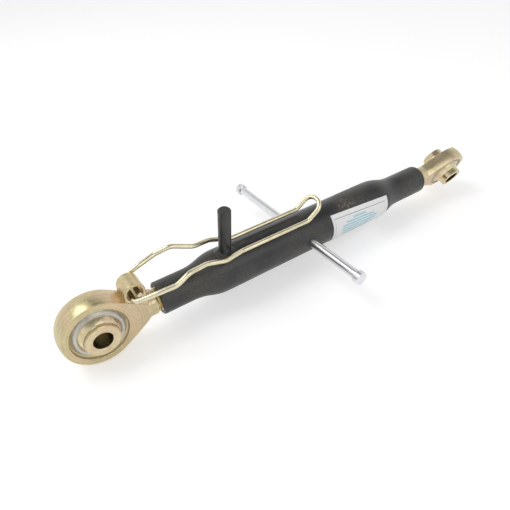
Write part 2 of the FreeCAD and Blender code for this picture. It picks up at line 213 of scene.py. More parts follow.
class SharedEffects:
    """Shader node groups that several finishes use, each built once."""

    def __init__(self) -> None:
        """Build all the groups."""
        self.mottle = self.build_mottle()
        self.grain = self.build_grain()
        self.turning = self.build_turning()
        self.scratches = self.build_scratches()

    def build_mottle(self) -> bpy.types.NodeTree:
        """Cloudy patches of a plated or painted surface.

        Returns:
            The group, with Patches from 0 to 1.
        """
        group, sheet = new_group(
            "cloudy_patches",
            [("Vector", "NodeSocketVector", (0, 0, 0)), ("Scale", "NodeSocketFloat", 60.0),
             ("Sharpness", "NodeSocketFloat", 0.2)],
            [("Patches", "NodeSocketFloat")])
        source = sheet.add("NodeGroupInput")
        noise = sheet.add("ShaderNodeTexNoise")
        sheet.join(source.outputs["Vector"], noise.inputs["Vector"])
        sheet.join(source.outputs["Scale"], noise.inputs["Scale"])
        noise.inputs["Detail"].default_value = 3.0
        low = sheet.maths("SUBTRACT", 0.5, source.outputs["Sharpness"])
        high = sheet.maths("ADD", 0.5, source.outputs["Sharpness"])
        result = sheet.add("NodeGroupOutput")
        sheet.join(sheet.smooth(noise.outputs["Fac"], low, high), result.inputs["Patches"])
        return group

    def build_grain(self) -> bpy.types.NodeTree:
        """Fine pitted grain of a forged or blasted surface.

        Returns:
            The group, with Height around zero.
        """
        group, sheet = new_group(
            "forged_grain",
            [("Vector", "NodeSocketVector", (0, 0, 0)), ("Scale", "NodeSocketFloat", 900.0),
             ("Depth", "NodeSocketFloat", 1.0)],
            [("Height", "NodeSocketFloat")])
        source = sheet.add("NodeGroupInput")
        fine = sheet.add("ShaderNodeTexNoise")
        sheet.join(source.outputs["Vector"], fine.inputs["Vector"])
        sheet.join(source.outputs["Scale"], fine.inputs["Scale"])
        fine.inputs["Detail"].default_value = 2.0
        coarse = sheet.add("ShaderNodeTexNoise")
        sheet.join(source.outputs["Vector"], coarse.inputs["Vector"])
        sheet.join(sheet.maths("MULTIPLY", source.outputs["Scale"], 0.12), coarse.inputs["Scale"])
        both = sheet.maths("ADD", fine.outputs["Fac"],
                           sheet.maths("MULTIPLY", coarse.outputs["Fac"], 2.0))
        result = sheet.add("NodeGroupOutput")
        sheet.join(sheet.maths("MULTIPLY", both, source.outputs["Depth"]),
                   result.inputs["Height"])
        return group

    def build_turning(self) -> bpy.types.NodeTree:
        """Concentric marks of a lathe tool round an axis along Y.

        Returns:
            The group, with Rings from 0 to 1.
        """
        group, sheet = new_group(
            "turning_rings",
            [("Vector", "NodeSocketVector", (0, 0, 0)), ("Pitch", "NodeSocketFloat", 0.0005)],
            [("Rings", "NodeSocketFloat")])
        source = sheet.add("NodeGroupInput")
        parts = sheet.add("ShaderNodeSeparateXYZ")
        sheet.join(source.outputs["Vector"], parts.inputs[0])
        across = sheet.maths("MULTIPLY", parts.outputs["X"], parts.outputs["X"])
        up = sheet.maths("MULTIPLY", parts.outputs["Z"], parts.outputs["Z"])
        radius = sheet.maths("SQRT", sheet.maths("ADD", across, up))
        place = sheet.maths("ADD", radius, sheet.maths("ABSOLUTE", parts.outputs["Y"]))
        line = sheet.add("ShaderNodeTexNoise", noise_dimensions="1D")
        sheet.join(sheet.maths("DIVIDE", place, source.outputs["Pitch"]), line.inputs["W"])
        line.inputs["Scale"].default_value = 1.0
        line.inputs["Detail"].default_value = 2.0
        result = sheet.add("NodeGroupOutput")
        sheet.join(line.outputs["Fac"], result.inputs["Rings"])
        return group

    def build_scratches(self) -> bpy.types.NodeTree:
        """Thin handling scratches and rubs, stretched along one direction.

        Returns:
            The group, with Marks from 0 to 1.
        """
        group, sheet = new_group(
            "handling_scratches",
            [("Vector", "NodeSocketVector", (0, 0, 0)), ("Scale", "NodeSocketFloat", 40.0),
             ("Share", "NodeSocketFloat", 0.35)],
            [("Marks", "NodeSocketFloat")])
        source = sheet.add("NodeGroupInput")
        place = sheet.add("ShaderNodeMapping")
        sheet.join(source.outputs["Vector"], place.inputs["Vector"])
        place.inputs["Rotation"].default_value = (0.5, 0.9, 0.3)
        place.inputs["Scale"].default_value = (0.12, 1.0, 1.0)
        lines = sheet.add("ShaderNodeTexNoise")
        sheet.join(place.outputs["Vector"], lines.inputs["Vector"])
        sheet.join(sheet.maths("MULTIPLY", source.outputs["Scale"], 12.0), lines.inputs["Scale"])
        lines.inputs["Detail"].default_value = 1.0
        areas = sheet.add("ShaderNodeTexNoise")
        sheet.join(source.outputs["Vector"], areas.inputs["Vector"])
        sheet.join(source.outputs["Scale"], areas.inputs["Scale"])
        thin = sheet.smooth(lines.outputs["Fac"], 0.62, 0.72)
        where = sheet.smooth(areas.outputs["Fac"],
                             sheet.maths("SUBTRACT", 0.75, source.outputs["Share"]), 0.75)
        result = sheet.add("NodeGroupOutput")
        sheet.join(sheet.maths("MULTIPLY", thin, where), result.inputs["Marks"])
        return group


# ---------------------------------------------------------------- finishes
class MaterialBuild:
    """One material being built round its Principled shader."""

    def __init__(self, name: str, effects: SharedEffects) -> None:
        """Start an empty material.

        Args:
            name: Name of the material.
            effects: Shared node groups.
        """
        self.material = bpy.data.materials.new(name)
        self.material.use_nodes = True
        self.material.node_tree.nodes.clear()
        self.sheet = NodeSheet(self.material.node_tree)
        self.effects = effects
        self.shader = self.sheet.add("ShaderNodeBsdfPrincipled")
        output = self.sheet.add("ShaderNodeOutputMaterial")
        self.sheet.join(self.shader.outputs[0], output.inputs["Surface"])
        self.place = self.sheet.add("ShaderNodeTexCoord").outputs["Object"]

    def constant(self, **values: object) -> None:
        """Set sockets of the shader that are the same all over, by name with underscores."""
        for name, value in values.items():
            self.shader.inputs[name.replace("_", " ")].default_value = value

    def feed(self, name: str, source: bpy.types.NodeSocket) -> None:
        """Feed one socket of the shader."""
        self.sheet.join(source, self.shader.inputs[name])

    def effect(self, group: bpy.types.NodeTree, vector: Optional[bpy.types.NodeSocket] = None,
               **values: float) -> bpy.types.NodeSocket:
        """Place a shared effect.

        Args:
            group: The node group.
            vector: Coordinates that it reads; object coordinates if left out.
            values: Its inputs by name.

        Returns:
            Its first output.
        """
        node = self.sheet.add("ShaderNodeGroup", node_tree=group)
        self.sheet.join(vector or self.place, node.inputs["Vector"])
        for name, value in values.items():
            node.inputs[name].default_value = value
        return node.outputs[0]

    def centred(self, centre: Vector, turn: Sequence[float] = (0.0, 0.0, 0.0),
                scale: Sequence[float] = (1.0, 1.0, 1.0)) -> bpy.types.NodeSocket:
        """Object coordinates measured from a centre, turned and scaled.

        Args:
            centre: Point that becomes the origin.
            turn: Rotation in radians after that.
            scale: Scale after that.

        Returns:
            The new coordinates.
        """
        shift = self.sheet.add("ShaderNodeMapping")
        self.sheet.join(self.place, shift.inputs["Vector"])
        shift.inputs["Location"].default_value = -Vector(centre)
        spin = self.sheet.add("ShaderNodeMapping")
        self.sheet.join(shift.outputs["Vector"], spin.inputs["Vector"])
        spin.inputs["Rotation"].default_value = turn
        spin.inputs["Scale"].default_value = scale
        return spin.outputs["Vector"]

    def bump(self, height: bpy.types.NodeSocket, depth: float, strength: float = 1.0) -> None:
        """Raise the surface by a height map.

        Args:
            height: Height from about 0 to 1.
            depth: Depth of the relief in metres.
            strength: Strength of the bump.
        """
        node = self.sheet.add("ShaderNodeBump")
        node.inputs["Distance"].default_value = depth
        node.inputs["Strength"].default_value = strength
        self.sheet.join(height, node.inputs["Height"])
        self.feed("Normal", node.outputs["Normal"])


@dataclass(frozen=True)
class ZincFinish:
    """Yellow zinc plate over forged, turned or drawn steel."""

    name: str
    base: Colour
    second: Colour
    tint: Colour
    roughness: float
    grain_depth: float = 0.00006
    grain_scale: float = 1400.0
    lay: Lay = Lay.NONE
    centre: tuple[float, float, float] = (0.0, 0.0, 0.0)
    turn: tuple[float, float, float] = (0.0, 0.0, 0.0)
    patch_scale: float = 55.0
    metal: float = 0.96
    blush: Optional[Colour] = None
    soil: Colour = (0.30, 0.24, 0.12)
    speckle: float = 0.3
    bore: float = 0.0

    def build(self, effects: SharedEffects) -> bpy.types.Material:
        """Build the material.

        Args:
            effects: Shared node groups.

        Returns:
            The finished material.
        """
        work = MaterialBuild(self.name, effects)
        sheet = work.sheet
        broad = work.effect(effects.mottle, Scale=self.patch_scale, Sharpness=0.16)
        small = work.effect(effects.mottle, Scale=self.patch_scale * 5.0, Sharpness=0.25)
        colour = sheet.blend(sheet.maths("MULTIPLY", broad, 0.75), self.base, self.second)
        colour = sheet.blend(sheet.maths("MULTIPLY", small, 0.5), colour, self.tint)
        if self.blush is not None:
            tinge = work.effect(effects.mottle, Scale=self.patch_scale * 0.6, Sharpness=0.12)
            colour = sheet.blend(sheet.maths("MULTIPLY", tinge, 0.4), colour, self.blush)
        speck = work.effect(effects.mottle, Scale=self.patch_scale * 18.0, Sharpness=0.2)
        colour = sheet.blend(sheet.maths("MULTIPLY", speck, self.speckle), colour, self.soil)
        rough = sheet.smooth(small, 0.0, 1.0, self.roughness * 0.85, self.roughness * 1.15)
        height = work.effect(effects.grain, Scale=self.grain_scale, Depth=0.35)
        if self.lay is Lay.AROUND_BORE:
            vector = work.centred(Vector(self.centre), self.turn)
            rings = work.effect(effects.turning, vector, Pitch=0.00035)
            height = sheet.maths("ADD", height, rings)
            wide = work.effect(effects.turning, vector, Pitch=0.0016)
            wide = sheet.smooth(wide, 0.5, 0.68, 0.0, 0.28)
            colour = sheet.blend(wide, colour, self.soil)
            # Painted shade: the ball's pin bore is darkened as if shade falls inside it.
            if self.bore > 0:
                colour = self.darken_bore(sheet, vector, colour)
        if self.lay is Lay.ALONG_LINK:
            vector = work.centred(Vector((0, 0, 0)), scale=(0.03, 1.0, 1.0))
            lines = work.effect(effects.grain, vector, Scale=self.grain_scale, Depth=0.5)
            height = sheet.maths("ADD", height, lines)
        scratches = work.effect(effects.scratches, Scale=50.0, Share=0.25)
        colour = sheet.blend(sheet.maths("MULTIPLY", scratches, 0.35), colour, (0.86, 0.83, 0.76))
        work.feed("Base Color", colour)
        work.feed("Roughness", rough)
        work.bump(height, self.grain_depth)
        work.constant(Metallic=self.metal)
        return work.material

    def darken_bore(self, sheet: NodeSheet, vector: bpy.types.NodeSocket,
                    colour: bpy.types.NodeSocket) -> bpy.types.NodeSocket:
        """Painted shade in the pin bore: its wall is darkened to a dark olive.

        Args:
            sheet: Sheet to build on.
            vector: Coordinates about the bore, with the bore along Y.
            colour: Colour outside the bore.

        Returns:
            The colour with the painted shade in the bore.
        """
        flat = sheet.add("ShaderNodeMapping")
        sheet.join(vector, flat.inputs["Vector"])
        flat.inputs["Scale"].default_value = (1.0, 0.0, 1.0)
        radius = sheet.add("ShaderNodeVectorMath", operation="LENGTH")
        sheet.join(flat.outputs["Vector"], radius.inputs[0])
        inside = sheet.smooth(radius.outputs["Value"], self.bore, self.bore + 0.0004, 0.78, 0.0)
        # Dark olive painted shade on the bore's wall.
        return sheet.blend(inside, colour, (0.10, 0.085, 0.04))


@dataclass(frozen=True)
class PaintFinish:
    """Semi-gloss black paint over rolled steel, with dust and rubbed places."""

    name: str = "black_paint"
    base: Colour = (0.016, 0.016, 0.017)
    worn: Colour = (0.034, 0.034, 0.031)
    rubbed: Colour = (0.22, 0.185, 0.125)
    dust: Colour = (0.115, 0.105, 0.080)
    roughness: float = 0.34
    rub_centre: tuple[float, float, float] = (0.3175, -0.0112, 0.0223)
    rub_size: float = 0.010

    def build(self, effects: SharedEffects) -> bpy.types.Material:
        """Build the material.

        Args:
            effects: Shared node groups.

        Returns:
            The finished material.
        """
        work = MaterialBuild(self.name, effects)
        sheet = work.sheet
        broad = work.effect(effects.mottle, Scale=26.0, Sharpness=0.2)
        small = work.effect(effects.mottle, Scale=170.0, Sharpness=0.12)
        scratches = work.effect(effects.scratches, Scale=36.0, Share=0.3)
        colour = sheet.blend(sheet.maths("MULTIPLY", broad, 0.6), self.base, self.worn)
        speck = work.effect(effects.mottle, Scale=700.0, Sharpness=0.1)
        dust = sheet.maths("MULTIPLY", sheet.maths("MULTIPLY", speck, broad), 0.35)
        colour = sheet.blend(dust, colour, self.dust)
        colour = sheet.blend(sheet.maths("MULTIPLY", scratches, 0.5), colour, (0.12, 0.11, 0.10))
        vector = work.centred(Vector(self.rub_centre), scale=(0.6, 1.0, 1.0))
        length = sheet.add("ShaderNodeVectorMath", operation="LENGTH")
        sheet.join(vector, length.inputs[0])
        near = sheet.smooth(length.outputs["Value"], self.rub_size * 1.2, self.rub_size * 0.2)
        rub = sheet.maths("MULTIPLY", near, sheet.maths("MULTIPLY", small, speck))
        colour = sheet.blend(sheet.maths("MULTIPLY", rub, 0.8), colour, self.rubbed)
        work.feed("Base Color", colour)
        work.feed("Roughness", sheet.smooth(broad, 0.0, 1.0, self.roughness - 0.06,
                                            self.roughness + 0.1))
        skin = work.effect(effects.grain, Scale=420.0, Depth=0.4)
        work.bump(skin, 0.00010)
        work.constant(Metallic=0.0, Specular_IOR_Level=0.5)
        return work.material


@dataclass(frozen=True)
class ChromeFinish:
    """Bright plated round bar with fine drawing lines."""

    name: str = "bright_plate"
    base: Colour = (0.76, 0.77, 0.79)
    shade: Colour = (0.60, 0.61, 0.63)
    roughness: float = 0.16

    def build(self, effects: SharedEffects) -> bpy.types.Material:
        """Build the material.

        Args:
            effects: Shared node groups.

        Returns:
            The finished material.
        """
        work = MaterialBuild(self.name, effects)
        sheet = work.sheet
        broad = work.effect(effects.mottle, Scale=90.0, Sharpness=0.3)
        vector = work.centred(Vector((0, 0, 0)), scale=(1.0, 0.03, 1.0))
        lines = work.effect(effects.grain, vector, Scale=1500.0, Depth=0.4)
        work.feed("Base Color", sheet.blend(sheet.maths("MULTIPLY", broad, 0.4), self.base,
                                            self.shade))
        work.feed("Roughness", sheet.smooth(broad, 0.0, 1.0, self.roughness,
                                            self.roughness + 0.08))
        work.bump(lines, 0.00002)
        work.constant(Metallic=1.0)
        return work.material


@dataclass(frozen=True)
class LabelFinish:
    """White film with a border line and plain bars, drawn on the film's own map."""

    name: str = "label_film"
    film: Colour = (0.80, 0.79, 0.79)
    ink: Colour = (0.22, 0.55, 0.63)
    line: Colour = (0.10, 0.11, 0.12)
    length: float = 93.0
    height: float = 50.0
    inset_top: float = 6.1
    inset_left: float = 3.8
    inset_right: float = 5.8
    bar_half: float = 1.05
    rows: tuple[tuple[float, float, float], ...] = (
        (10.8, 32.0, 54.0), (14.6, 21.0, 67.0), (18.4, 15.0, 73.0), (22.2, 13.0, 71.0),
        (26.0, 15.0, 66.0), (29.8, 17.0, 61.0), (33.6, 20.0, 56.0))

    def build(self, effects: SharedEffects) -> bpy.types.Material:
        """Build the material.

        Args:
            effects: Shared node groups.

        Returns:
            The finished material.
        """
        work = MaterialBuild(self.name, effects)
        sheet = work.sheet
        uv = sheet.add("ShaderNodeUVMap", uv_map="film")
        parts = sheet.add("ShaderNodeSeparateXYZ")
        sheet.join(uv.outputs["UV"], parts.inputs[0])
        along = sheet.maths("MULTIPLY", parts.outputs["X"], self.length)
        down = sheet.maths("MULTIPLY", parts.outputs["Y"], self.height)
        ink = self.bars(sheet, along, down)
        left = self.inset_left
        right = self.length - self.inset_right
        border = sheet.maths("MULTIPLY", self.band(sheet, down, self.inset_top, 0.34),
                             self.span(sheet, along, left, right))
        below = self.span(sheet, down, self.inset_top, self.height)
        for place in (left, right):
            upright = sheet.maths("MULTIPLY", self.band(sheet, along, place, 0.3), below)
            border = sheet.maths("MAXIMUM", border, sheet.maths("MULTIPLY", upright, 0.5))
        cloud = work.effect(effects.mottle, Scale=60.0, Sharpness=0.3)
        colour = sheet.blend(sheet.maths("MULTIPLY", cloud, 0.5), self.film, (0.73, 0.75, 0.77))
        colour = sheet.blend(sheet.maths("MULTIPLY", border, 0.85), colour, self.line)
        colour = sheet.blend(sheet.maths("MULTIPLY", ink, 0.8), colour, self.ink)
        work.feed("Base Color", colour)
        work.feed("Roughness", sheet.smooth(cloud, 0.0, 1.0, 0.34, 0.46))
        work.bump(work.effect(effects.grain, Scale=260.0, Depth=0.5), 0.00008)
        work.constant(Metallic=0.0)
        return work.material

    def span(self, sheet: NodeSheet, value: bpy.types.NodeSocket, low: float,
             high: float) -> bpy.types.NodeSocket:
        """Mask that is 1 between two places.

        Args:
            sheet: Sheet to build on.
            value: Place in millimetres.
            low: Start of the span.
            high: End of the span.

        Returns:
            The mask.
        """
        edge = 0.25
        rise = sheet.smooth(value, low - edge, low + edge)
        fall = sheet.smooth(value, high - edge, high + edge, 1.0, 0.0)
        return sheet.maths("MULTIPLY", rise, fall)

    def band(self, sheet: NodeSheet, value: bpy.types.NodeSocket, middle: float,
             half: float) -> bpy.types.NodeSocket:
        """Mask of a thin band about a middle line.

        Args:
            sheet: Sheet to build on.
            value: Place in millimetres.
            middle: Middle of the band.
            half: Half its width.

        Returns:
            The mask.
        """
        away = sheet.maths("ABSOLUTE", sheet.maths("SUBTRACT", value, middle))
        return sheet.smooth(away, half * 0.6, half * 1.4, 1.0, 0.0)

    def bars(self, sheet: NodeSheet, along: bpy.types.NodeSocket,
             down: bpy.types.NodeSocket) -> bpy.types.NodeSocket:
        """Mask of the plain bars.

        Args:
            sheet: Sheet to build on.
            along: Place along the film in millimetres.
            down: Place down the film in millimetres.

        Returns:
            The mask.
        """
        total: object = 0.0
        for middle, start, end in self.rows:
            row = sheet.maths("MULTIPLY", self.band(sheet, down, middle, self.bar_half),
                              self.span(sheet, along, start, end))
            total = sheet.maths("MAXIMUM", total, row)
        return total


# ---------------------------------------------------------------- mesh helpers
def mesh_object(name: str, vertices: Sequence[Sequence[float]],
                faces: Sequence[Sequence[int]]) -> bpy.types.Object:
    """Make an object from vertices and faces.

    Args:
        name: Name of the object and its mesh.
        vertices: Points in metres.
        faces: Vertex numbers of each face.

    Returns:
        The new object, linked into the scene.
    """
    mesh = bpy.data.meshes.new(name)
    mesh.from_pydata(vertices, [], faces)
    mesh.update()
    made = bpy.data.objects.new(name, mesh)
    bpy.context.scene.collection.objects.link(made)
    return made


def set_input(modifier: bpy.types.Modifier, tree: bpy.types.NodeTree, name: str,
              value: object) -> None:
    """Set a Geometry Nodes input by the name of its socket.

    Args:
        modifier: The nodes modifier.
        tree: Its node tree.
        name: Name of the input.
        value: New value.
    """
    for item in tree.interface.items_tree:
        if item.item_type == "SOCKET" and item.in_out == "INPUT" and item.name == name:
            modifier[item.identifier] = value
            return
    raise KeyError(name)


def made_plain(source: bpy.types.Object, name: str) -> bpy.types.Object:
    """Turn an object with live modifiers into a plain mesh object.

    Args:
        source: Object with modifiers, which is removed.
        name: Name of the result.

    Returns:
        The plain object.
    """
    graph = bpy.context.evaluated_depsgraph_get()
    mesh = bpy.data.meshes.new_from_object(source.evaluated_get(graph))
    mesh.name = name
    bpy.data.objects.remove(source)
    made = bpy.data.objects.new(name, mesh)
    bpy.context.scene.collection.objects.link(made)
    return made


def dress(piece: bpy.types.Object, material: bpy.types.Material) -> None:
    """Give an object one material."""
    piece.data.materials.clear()
    piece.data.materials.append(material)


# ---------------------------------------------------------------- sub-assemblies
class SkinTree:
    """Geometry node tree that bends a flat grid, counted in columns and rows, into a skin."""

    def __init__(self, name: str, floats: Sequence[str]) -> None:
        """Start the tree and its grid.

        Args:
            name: Name of the tree.
            floats: Names of its inputs for sizes.
        """
        self.tree = bpy.data.node_groups.new(name, "GeometryNodeTree")
        face = self.tree.interface
        face.new_socket(name="Geometry", in_out="INPUT", socket_type="NodeSocketGeometry")
        for label in floats:
            face.new_socket(name=label, in_out="INPUT", socket_type="NodeSocketFloat")
        for label in ("Columns", "Rows"):
            face.new_socket(name=label, in_out="INPUT", socket_type="NodeSocketInt")
        face.new_socket(name="Material", in_out="INPUT", socket_type="NodeSocketMaterial")
        face.new_socket(name="Geometry", in_out="OUTPUT", socket_type="NodeSocketGeometry")
        self.sheet = NodeSheet(self.tree)
        self.size = self.sheet.add("NodeGroupInput").outputs
        maths = self.sheet.maths
        self.grid = self.sheet.add("GeometryNodeMeshGrid")
        self.sheet.join(maths("ADD", self.size["Columns"], 1.0), self.grid.inputs["Vertices X"])
        self.sheet.join(self.size["Rows"], self.grid.inputs["Vertices Y"])
        index = self.sheet.add("GeometryNodeInputIndex").outputs[0]
        share = maths("DIVIDE", maths("ADD", index, 0.5), self.size["Rows"])
        column = maths("FLOOR", share)
        self.row = maths("SUBTRACT", index, maths("MULTIPLY", column, self.size["Rows"]))
        self.turn = maths("DIVIDE", column, self.size["Columns"])
        self.angle = maths("MULTIPLY", self.turn, math.tau)

    def is_row(self, number: object) -> bpy.types.NodeSocket:
        """Mask of one row."""
        return self.sheet.maths("COMPARE", self.row, number, 0.25)

    def close(self, x: bpy.types.NodeSocket, y: bpy.types.NodeSocket,
              z: bpy.types.NodeSocket) -> bpy.types.NodeTree:
        """Place the grid's points, join the seam and finish the tree.

        Args:
            x: Place along X in millimetres.
            y: Place along Y.
            z: Place along Z.

        Returns:
            The finished tree.
        """
        sheet = self.sheet
        place = sheet.add("ShaderNodeCombineXYZ")
        for value, target in zip((x, y, z), place.inputs):
            sheet.join(value, target)
        bend = sheet.add("GeometryNodeSetPosition")
        sheet.join(self.grid.outputs["Mesh"], bend.inputs["Geometry"])
        sheet.join(place.outputs[0], bend.inputs["Position"])
        merge = sheet.add("GeometryNodeMergeByDistance")
        sheet.join(bend.outputs[0], merge.inputs["Geometry"])
        merge.inputs["Distance"].default_value = 0.002
        scale = sheet.add("GeometryNodeTransform")
        sheet.join(merge.outputs[0], scale.inputs["Geometry"])
        scale.inputs["Scale"].default_value = (MM, MM, MM)
        real = sheet.add("GeometryNodeRealizeInstances")
        sheet.join(scale.outputs[0], real.inputs[0])
        paint = sheet.add("GeometryNodeSetMaterial")
        sheet.join(real.outputs[0], paint.inputs["Geometry"])
        sheet.join(self.size["Material"], paint.inputs["Material"])
        result = sheet.add("NodeGroupOutput")
        sheet.join(paint.outputs[0], result.inputs[0])
        return self.tree


def grown(name: str, tree: bpy.types.NodeTree, values: dict[str, object]) -> bpy.types.Object:
    """Run a geometry tree on an empty seed and keep its plain mesh.

    Args:
        name: Name of the piece.
        tree: The tree.
        values: Its inputs by name.

    Returns:
        The plain piece.
    """
    seed = mesh_object("seed_" + name, [(0, 0, 0)], [])
    modifier = seed.modifiers.new("form", "NODES")
    modifier.node_group = tree
    for label, value in values.items():
        set_input(modifier, tree, label, value)
    return made_plain(seed, name)


@dataclass
class ThreadedScrew:
    """Screw with a cut thread that follows a helix, on a plain spigot."""

    name: str
    node: str
    body: str
    hand: Hand
    turned_round: bool
    spigot: float = 12.0
    spigot_r: float = 8.0
    groove: float = 0.8
    pitch: float = 3.0
    outer: float = 13.5
    depth: float = 1.84
    tip: float = 2.5
    around: int = 64

    def tree(self) -> bpy.types.NodeTree:
        """Node tree of the threaded rod, built from its spigot's end along +X.

        Returns:
            The tree with named inputs.
        """
        skin = SkinTree("thread_" + self.name, ("Start", "Length", "Pitch", "Outer", "Depth",
                                                "Tip", "Spigot", "Hand"))
        maths = skin.sheet.maths
        size = skin.size
        row = maths("MAXIMUM", maths("SUBTRACT", skin.row, 4.0), 0.0)
        quarter = maths("FLOOR", maths("DIVIDE", maths("ADD", row, 0.5), 4.0))
        step = maths("SUBTRACT", row, maths("MULTIPLY", quarter, 4.0))
        one = maths("COMPARE", step, 1.0, 0.25)
        two = maths("COMPARE", step, 2.0, 0.25)
        three = maths("COMPARE", step, 3.0, 0.25)
        phase = maths("ADD", maths("MULTIPLY", two, 0.4375), maths("MULTIPLY", three, 0.6875))
        phase = maths("ADD", maths("MULTIPLY", one, 0.125), phase)
        turns = maths("ADD", maths("ADD", quarter, phase),
                      maths("MULTIPLY", skin.turn, size["Hand"]))
        along = maths("MULTIPLY", maths("SUBTRACT", turns, 2.0), size["Pitch"])
        kept = maths("MINIMUM", maths("MAXIMUM", along, size["Start"]), size["Length"])
        cut = maths("MULTIPLY", maths("ADD", two, three), size["Depth"])
        crest = maths("SUBTRACT", size["Outer"], cut)
        chamfer = maths("ADD", maths("SUBTRACT", size["Outer"], size["Tip"]),
                        maths("SUBTRACT", size["Length"], kept))
        runout = maths("ADD", maths("SUBTRACT", size["Outer"], size["Depth"]),
                       maths("SUBTRACT", kept, size["Start"]))
        radius = maths("MINIMUM", crest, maths("MINIMUM", chamfer, runout))
        spigot = maths("LESS_THAN", skin.row, 2.5)
        radius = maths("MINIMUM", radius, maths("ADD", size["Spigot"],
                                                maths("MULTIPLY", maths("SUBTRACT", 1.0, spigot),
                                                      size["Outer"])))
        ends = maths("MAXIMUM", skin.is_row(0.0),
                     skin.is_row(maths("SUBTRACT", size["Rows"], 1.0)))
        radius = maths("MULTIPLY", radius, maths("SUBTRACT", 1.0, ends))
        sunk = maths("MULTIPLY", maths("LESS_THAN", skin.row, 1.5), -self.spigot)
        early = maths("LESS_THAN", skin.row, 3.5)
        place = maths("ADD", maths("MULTIPLY", kept, maths("SUBTRACT", 1.0, early)), sunk)
        return skin.close(place, maths("MULTIPLY", radius, maths("COSINE", skin.angle)),
                          maths("MULTIPLY", radius, maths("SINE", skin.angle)))

    def build(self, material: bpy.types.Material) -> bpy.types.Object:
        """Build the screw and let it stand for the plain solid.

        Args:
            material: Finish of the thread.

        Returns:
            The threaded rod.
        """
        low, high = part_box(self.node)
        length = (high.x - low.x) / MM - self.spigot
        rows = 4 * (int(length / self.pitch) + 7)
        rod = grown(self.name, self.tree(), {
            "Start": self.groove, "Length": length, "Pitch": self.pitch, "Outer": self.outer,
            "Depth": self.depth, "Tip": self.tip, "Spigot": self.spigot_r,
            "Hand": float(self.hand.value), "Columns": self.around, "Rows": rows,
            "Material": material})
        place = low.x + self.spigot * MM
        if self.turned_round:
            rod.data.transform(Matrix.Rotation(math.pi, 4, "Z"))
            place = high.x - self.spigot * MM
        rod.data.transform(Matrix.Translation((place, 0, 0)))
        rod.data.shade_flat()
        fix_normals(rod)
        return rod


def fix_normals(piece: bpy.types.Object) -> None:
    """Point all faces of a closed mesh outwards and drop faces with no area."""
    work = bmesh.new()
    work.from_mesh(piece.data)
    bmesh.ops.dissolve_degenerate(work, dist=1e-7, edges=work.edges)
    bmesh.ops.recalc_face_normals(work, faces=work.faces)
    work.to_mesh(piece.data)
    work.free()
    piece.data.update()


@dataclass
class LabelSheet:
    """Film that lies a little askew on the tube and follows the start of its flare."""

    node: str = "label"
    body: str = "tube_body"
    start: float = 288.4
    length: float = 91.5
    first_angle: float = 40.7
    skew: float = 13.7
    span: float = 116.0
    body_r: float = 25.0
    flare_x: float = 370.0
    flare_length: float = 41.0
    neck_r: float = 18.2
    glue: float = 0.12
    thick: float = 0.2
    columns: int = 60
    rows: int = 72

    def radius(self, x: float) -> float:
        """Radius of the tube's surface at a place along it."""
        if x <= self.flare_x:
            return self.body_r
        share = min((x - self.flare_x) / self.flare_length, 1.0)
        drop = self.body_r - self.neck_r
        low = 2 * share * share if share < 0.5 else 1 - 2 * (1 - share) ** 2
        return self.body_r - drop * low

    def build(self, material: bpy.types.Material) -> bpy.types.Object:
        """Build the film and let it stand for the plain solid.

        Args:
            material: Printed film.

        Returns:
            The film.
        """
        points: list[tuple[float, float, float]] = []
        maps: list[tuple[float, float]] = []
        for layer in (self.glue, self.glue + self.thick):
            for i in range(self.columns + 1):
                for j in range(self.rows + 1):
                    u = i / self.columns
                    v = j / self.rows
                    x = self.start + self.length * u + 1.6 * v * (u - 0.6)
                    angle = math.radians(self.first_angle + self.skew * u + self.span * v)
                    curl = 0.22 * math.exp(-40 * v) * math.exp(-18 * u)
                    radius = self.radius(x) + layer + curl
                    points.append((x * MM, -radius * math.sin(angle) * MM,
                                   radius * math.cos(angle) * MM))
                    maps.append((u, v))
        faces = self.skin(maps)
        film = mesh_object("label_film", points, faces)
        layer_map = film.data.uv_layers.new(name="film")
        for loop in film.data.loops:
            layer_map.data[loop.index].uv = maps[loop.vertex_index]
        fix_normals(film)
        film.data.shade_smooth()
        dress(film, material)
        return film

    def skin(self, maps: Sequence[tuple[float, float]]) -> list[tuple[int, ...]]:
        """Faces of a closed thin sheet.

        Args:
            maps: One entry for each vertex of both layers.

        Returns:
            Vertex numbers of each face.
        """
        layer = len(maps) // 2
        tall = self.rows + 1
        faces: list[tuple[int, ...]] = []
        for i in range(self.columns):
            for j in range(self.rows):
                a = i * tall + j
                quad = (a, a + tall, a + tall + 1, a + 1)
                faces.append(quad)
                faces.append(tuple(layer + k for k in reversed(quad)))
        rim = [i * tall for i in range(self.columns)]
        rim += [self.columns * tall + j for j in range(self.rows)]
        rim += [i * tall + self.rows for i in range(self.columns, 0, -1)]
        rim += list(range(self.rows, 0, -1))
        for a, b in zip(rim, rim[1:] + rim[:1]):
            faces.append((b, a, a + layer, b + layer))
        return faces


